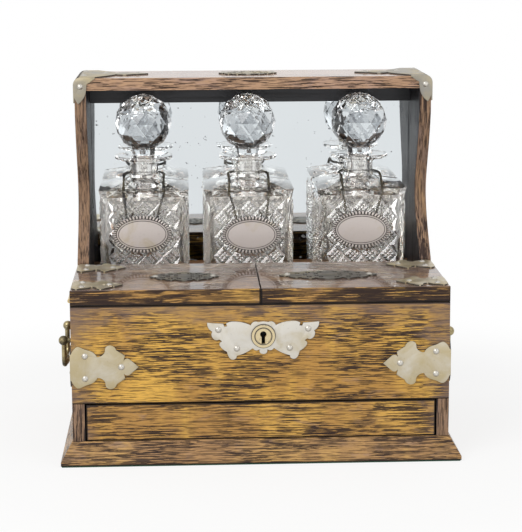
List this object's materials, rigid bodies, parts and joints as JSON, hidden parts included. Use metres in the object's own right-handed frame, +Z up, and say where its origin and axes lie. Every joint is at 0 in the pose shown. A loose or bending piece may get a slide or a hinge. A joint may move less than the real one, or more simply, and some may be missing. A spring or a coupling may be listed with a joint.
{
  "type": "tantalus",
  "caption": "Antique oak tantalus: cut-glass decanters under a fixed hood, locked in behind hinged twin lids over a games compartment, with a drawer below.",
  "frame": {"origin": "on the ground, under the middle of the overall box", "axes": "+X to the right seen from the front, +Y to the back, +Z up"},
  "size_m": [0.3842, 0.248, 0.3494],
  "materials": {
    "oak": "polished golden oak",
    "lining_wood": "plain oiled hardwood",
    "dark_oak": "dark stained oak",
    "baize": "green wool baize",
    "mirror": "old silvered glass with foxing",
    "cut_glass": "clear cut crystal",
    "silver": "worn silver plate on nickel silver",
    "brass": "polished brass",
    "aged_brass": "aged brown brass",
    "steel": "plain steel"
  },
  "bodies": {
    "case": {"base_rail": "oak", "plinth_front": "oak", "plinth_sides": "oak", "side_panel_left": "oak", "side_panel_right": "oak", "hood_board": "oak", "front_panel": "oak", "base_board": "lining_wood", "drawer_runners": "lining_wood", "back_panel": "lining_wood", "well_back_lining": "lining_wood", "dust_board": "lining_wood", "well_platform": "lining_wood", "well_partition": "lining_wood", "well_dividers": "lining_wood", "mirror_rail": "dark_oak", "baize_underlay": "baize", "baize_linings": "baize", "mirror_glass": "mirror", "escutcheon_plate": "silver", "strap_mounts": "silver", "hood_end_mounts": "silver", "hood_centre_mount": "silver", "case_pins": "silver", "keyhole_ring": "brass", "lock_case": "brass", "lock_cover": "brass", "case_hinge_leaves": "brass", "drawer_spring": "brass", "handle_posts": "aged_brass", "hinge_pins": "steel"},
    "lid_left": {"lid_left": "oak", "lid_hinge_leaves_left": "brass", "lid_straps_left": "silver", "lid_plaque_left": "silver", "lid_pins_left": "silver", "lock_link_left": "brass"},
    "lid_right": {"lid_right": "oak", "lid_hinge_leaves_right": "brass", "lid_straps_right": "silver", "lid_plaque_right": "silver", "lid_pins_right": "silver", "lock_link_right": "brass"},
    "lock_bolt": {"lock_bolt": "steel"},
    "drawer": {"drawer_front": "oak", "drawer_sides": "lining_wood", "drawer_back": "lining_wood", "drawer_bottom": "lining_wood"},
    "drawer_plunger": {"drawer_plunger": "brass"},
    "bail_left": {"handle_bail_left": "aged_brass"},
    "bail_right": {"handle_bail_right": "aged_brass"},
    "decanter_left": {"decanter_left": "cut_glass", "decanter_label_left": "silver"},
    "stopper_left": {"stopper_left": "cut_glass"},
    "decanter_centre": {"decanter_centre": "cut_glass", "decanter_label_centre": "silver"},
    "stopper_centre": {"stopper_centre": "cut_glass"},
    "decanter_right": {"decanter_right": "cut_glass", "decanter_label_right": "silver"},
    "stopper_right": {"stopper_right": "cut_glass"}
  },
  "joints": [
    {"name": "lid_left_hinge", "type": "hinge", "parent": "case", "child": "lid_left", "pos_m": [-0.17695, -0.04725, 0.14975], "axis": [0, -1, 0], "range_deg": [0, 105]},
    {"name": "lid_right_hinge", "type": "hinge", "parent": "case", "child": "lid_right", "pos_m": [0.17695, -0.04725, 0.14975], "axis": [0, 1, 0], "range_deg": [0, 105]},
    {"name": "drawer_slide", "type": "slide", "parent": "case", "child": "drawer", "axis": [0, -1, 0], "range_m": [0, 0.18]},
    {"name": "lock_bolt_slide", "type": "slide", "parent": "case", "child": "lock_bolt", "axis": [1, 0, 0], "range_m": [0, 0.005]},
    {"name": "drawer_plunger_slide", "type": "slide", "parent": "case", "child": "drawer_plunger", "axis": [0, 0, -1], "range_m": [0, 0.007]},
    {"name": "bail_left_hinge", "type": "hinge", "parent": "case", "child": "bail_left", "pos_m": [-0.1874, 0.0055, 0.099], "axis": [0, 1, 0], "range_deg": [0, 95]},
    {"name": "bail_right_hinge", "type": "hinge", "parent": "case", "child": "bail_right", "pos_m": [0.1874, 0.0055, 0.103], "axis": [0, -1, 0], "range_deg": [0, 95]},
    {"name": "decanter_left_lift", "type": "slide", "parent": "case", "child": "decanter_left", "axis": [0, 0, 1], "range_m": [0, 0.003]},
    {"name": "stopper_left_pull", "type": "slide", "parent": "decanter_left", "child": "stopper_left", "axis": [0, 0, 1], "range_m": [0, 0.003]},
    {"name": "decanter_centre_lift", "type": "slide", "parent": "case", "child": "decanter_centre", "axis": [0, 0, 1], "range_m": [0, 0.003]},
    {"name": "stopper_centre_pull", "type": "slide", "parent": "decanter_centre", "child": "stopper_centre", "axis": [0, 0, 1], "range_m": [0, 0.003]},
    {"name": "decanter_right_lift", "type": "slide", "parent": "case", "child": "decanter_right", "axis": [0, 0, 1], "range_m": [0, 0.003]},
    {"name": "stopper_right_pull", "type": "slide", "parent": "decanter_right", "child": "stopper_right", "axis": [0, 0, 1], "range_m": [0, 0.003]}
  ]
}
